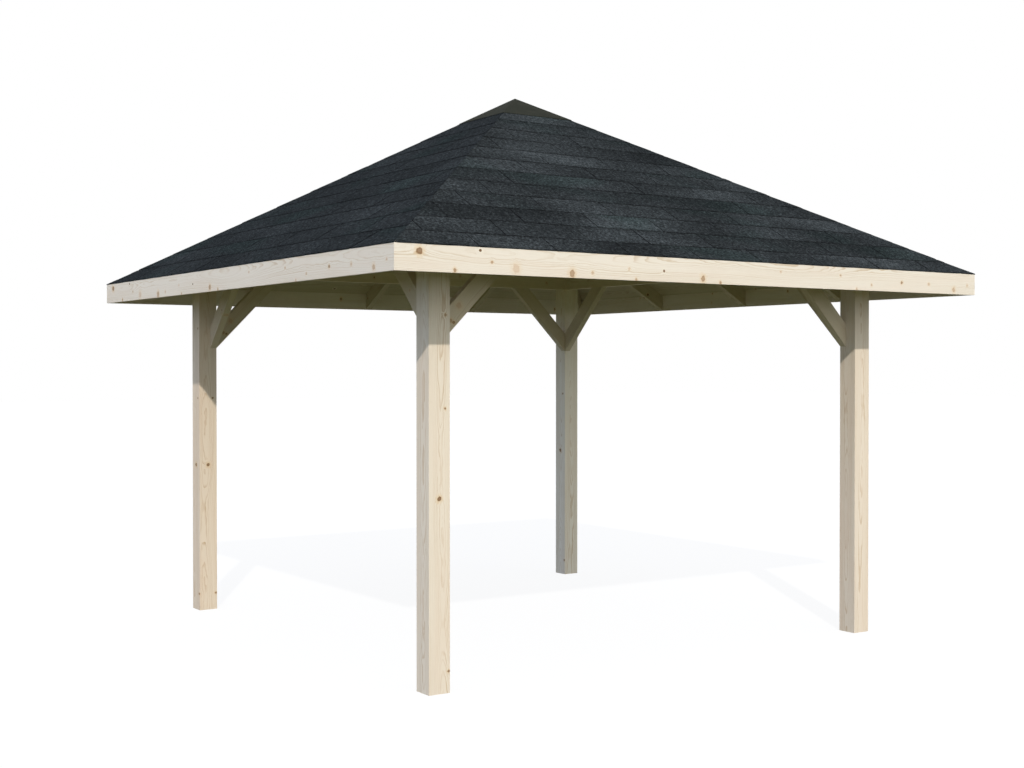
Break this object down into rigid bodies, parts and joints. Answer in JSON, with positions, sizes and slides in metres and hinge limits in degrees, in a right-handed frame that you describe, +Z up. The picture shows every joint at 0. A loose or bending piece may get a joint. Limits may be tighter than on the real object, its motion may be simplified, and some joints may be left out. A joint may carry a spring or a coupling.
{
  "type": "garden gazebo",
  "caption": "Square open timber gazebo: corner posts with knee braces carry a hipped pyramid roof with deep eaves, fascias, dark shingles and a peak cap.",
  "frame": {"origin": "on the ground under the middle of the roof", "axes": "+Z up, the front side faces -Y, +X to the right of someone who faces the front"},
  "size_m": [3.961, 3.961, 3.3098],
  "materials": {
    "post_timber": "planed bare softwood",
    "frame_timber": "planed bare softwood",
    "brace_timber": "planed bare softwood",
    "fascia_timber": "planed bare softwood",
    "boarding": "planed tongued boards",
    "shingles": "mineral granules on bitumen felt",
    "cap_sheet": "satin coated sheet"
  },
  "bodies": {
    "root": {"front_right_post": "post_timber", "back_right_post": "post_timber", "back_left_post": "post_timber", "front_left_post": "post_timber", "front_beam": "frame_timber", "right_beam": "frame_timber", "back_beam": "frame_timber", "left_beam": "frame_timber", "front_brace_left": "brace_timber", "front_brace_right": "brace_timber", "right_brace_left": "brace_timber", "right_brace_right": "brace_timber", "back_brace_left": "brace_timber", "back_brace_right": "brace_timber", "left_brace_left": "brace_timber", "left_brace_right": "brace_timber", "front_right_hip_rafter": "frame_timber", "back_right_hip_rafter": "frame_timber", "back_left_hip_rafter": "frame_timber", "front_left_hip_rafter": "frame_timber", "front_rafter_middle": "frame_timber", "right_rafter_middle": "frame_timber", "back_rafter_middle": "frame_timber", "left_rafter_middle": "frame_timber", "front_rafter_left": "frame_timber", "front_rafter_right": "frame_timber", "right_rafter_left": "frame_timber", "right_rafter_right": "frame_timber", "back_rafter_left": "frame_timber", "back_rafter_right": "frame_timber", "left_rafter_left": "frame_timber", "left_rafter_right": "frame_timber", "front_fascia": "fascia_timber", "right_fascia": "fascia_timber", "back_fascia": "fascia_timber", "left_fascia": "fascia_timber", "front_roof_boarding": "boarding", "right_roof_boarding": "boarding", "back_roof_boarding": "boarding", "left_roof_boarding": "boarding", "front_shingles": "shingles", "right_shingles": "shingles", "back_shingles": "shingles", "left_shingles": "shingles", "king_block": "frame_timber", "roof_cap": "cap_sheet"}
  },
  "joints": []
}
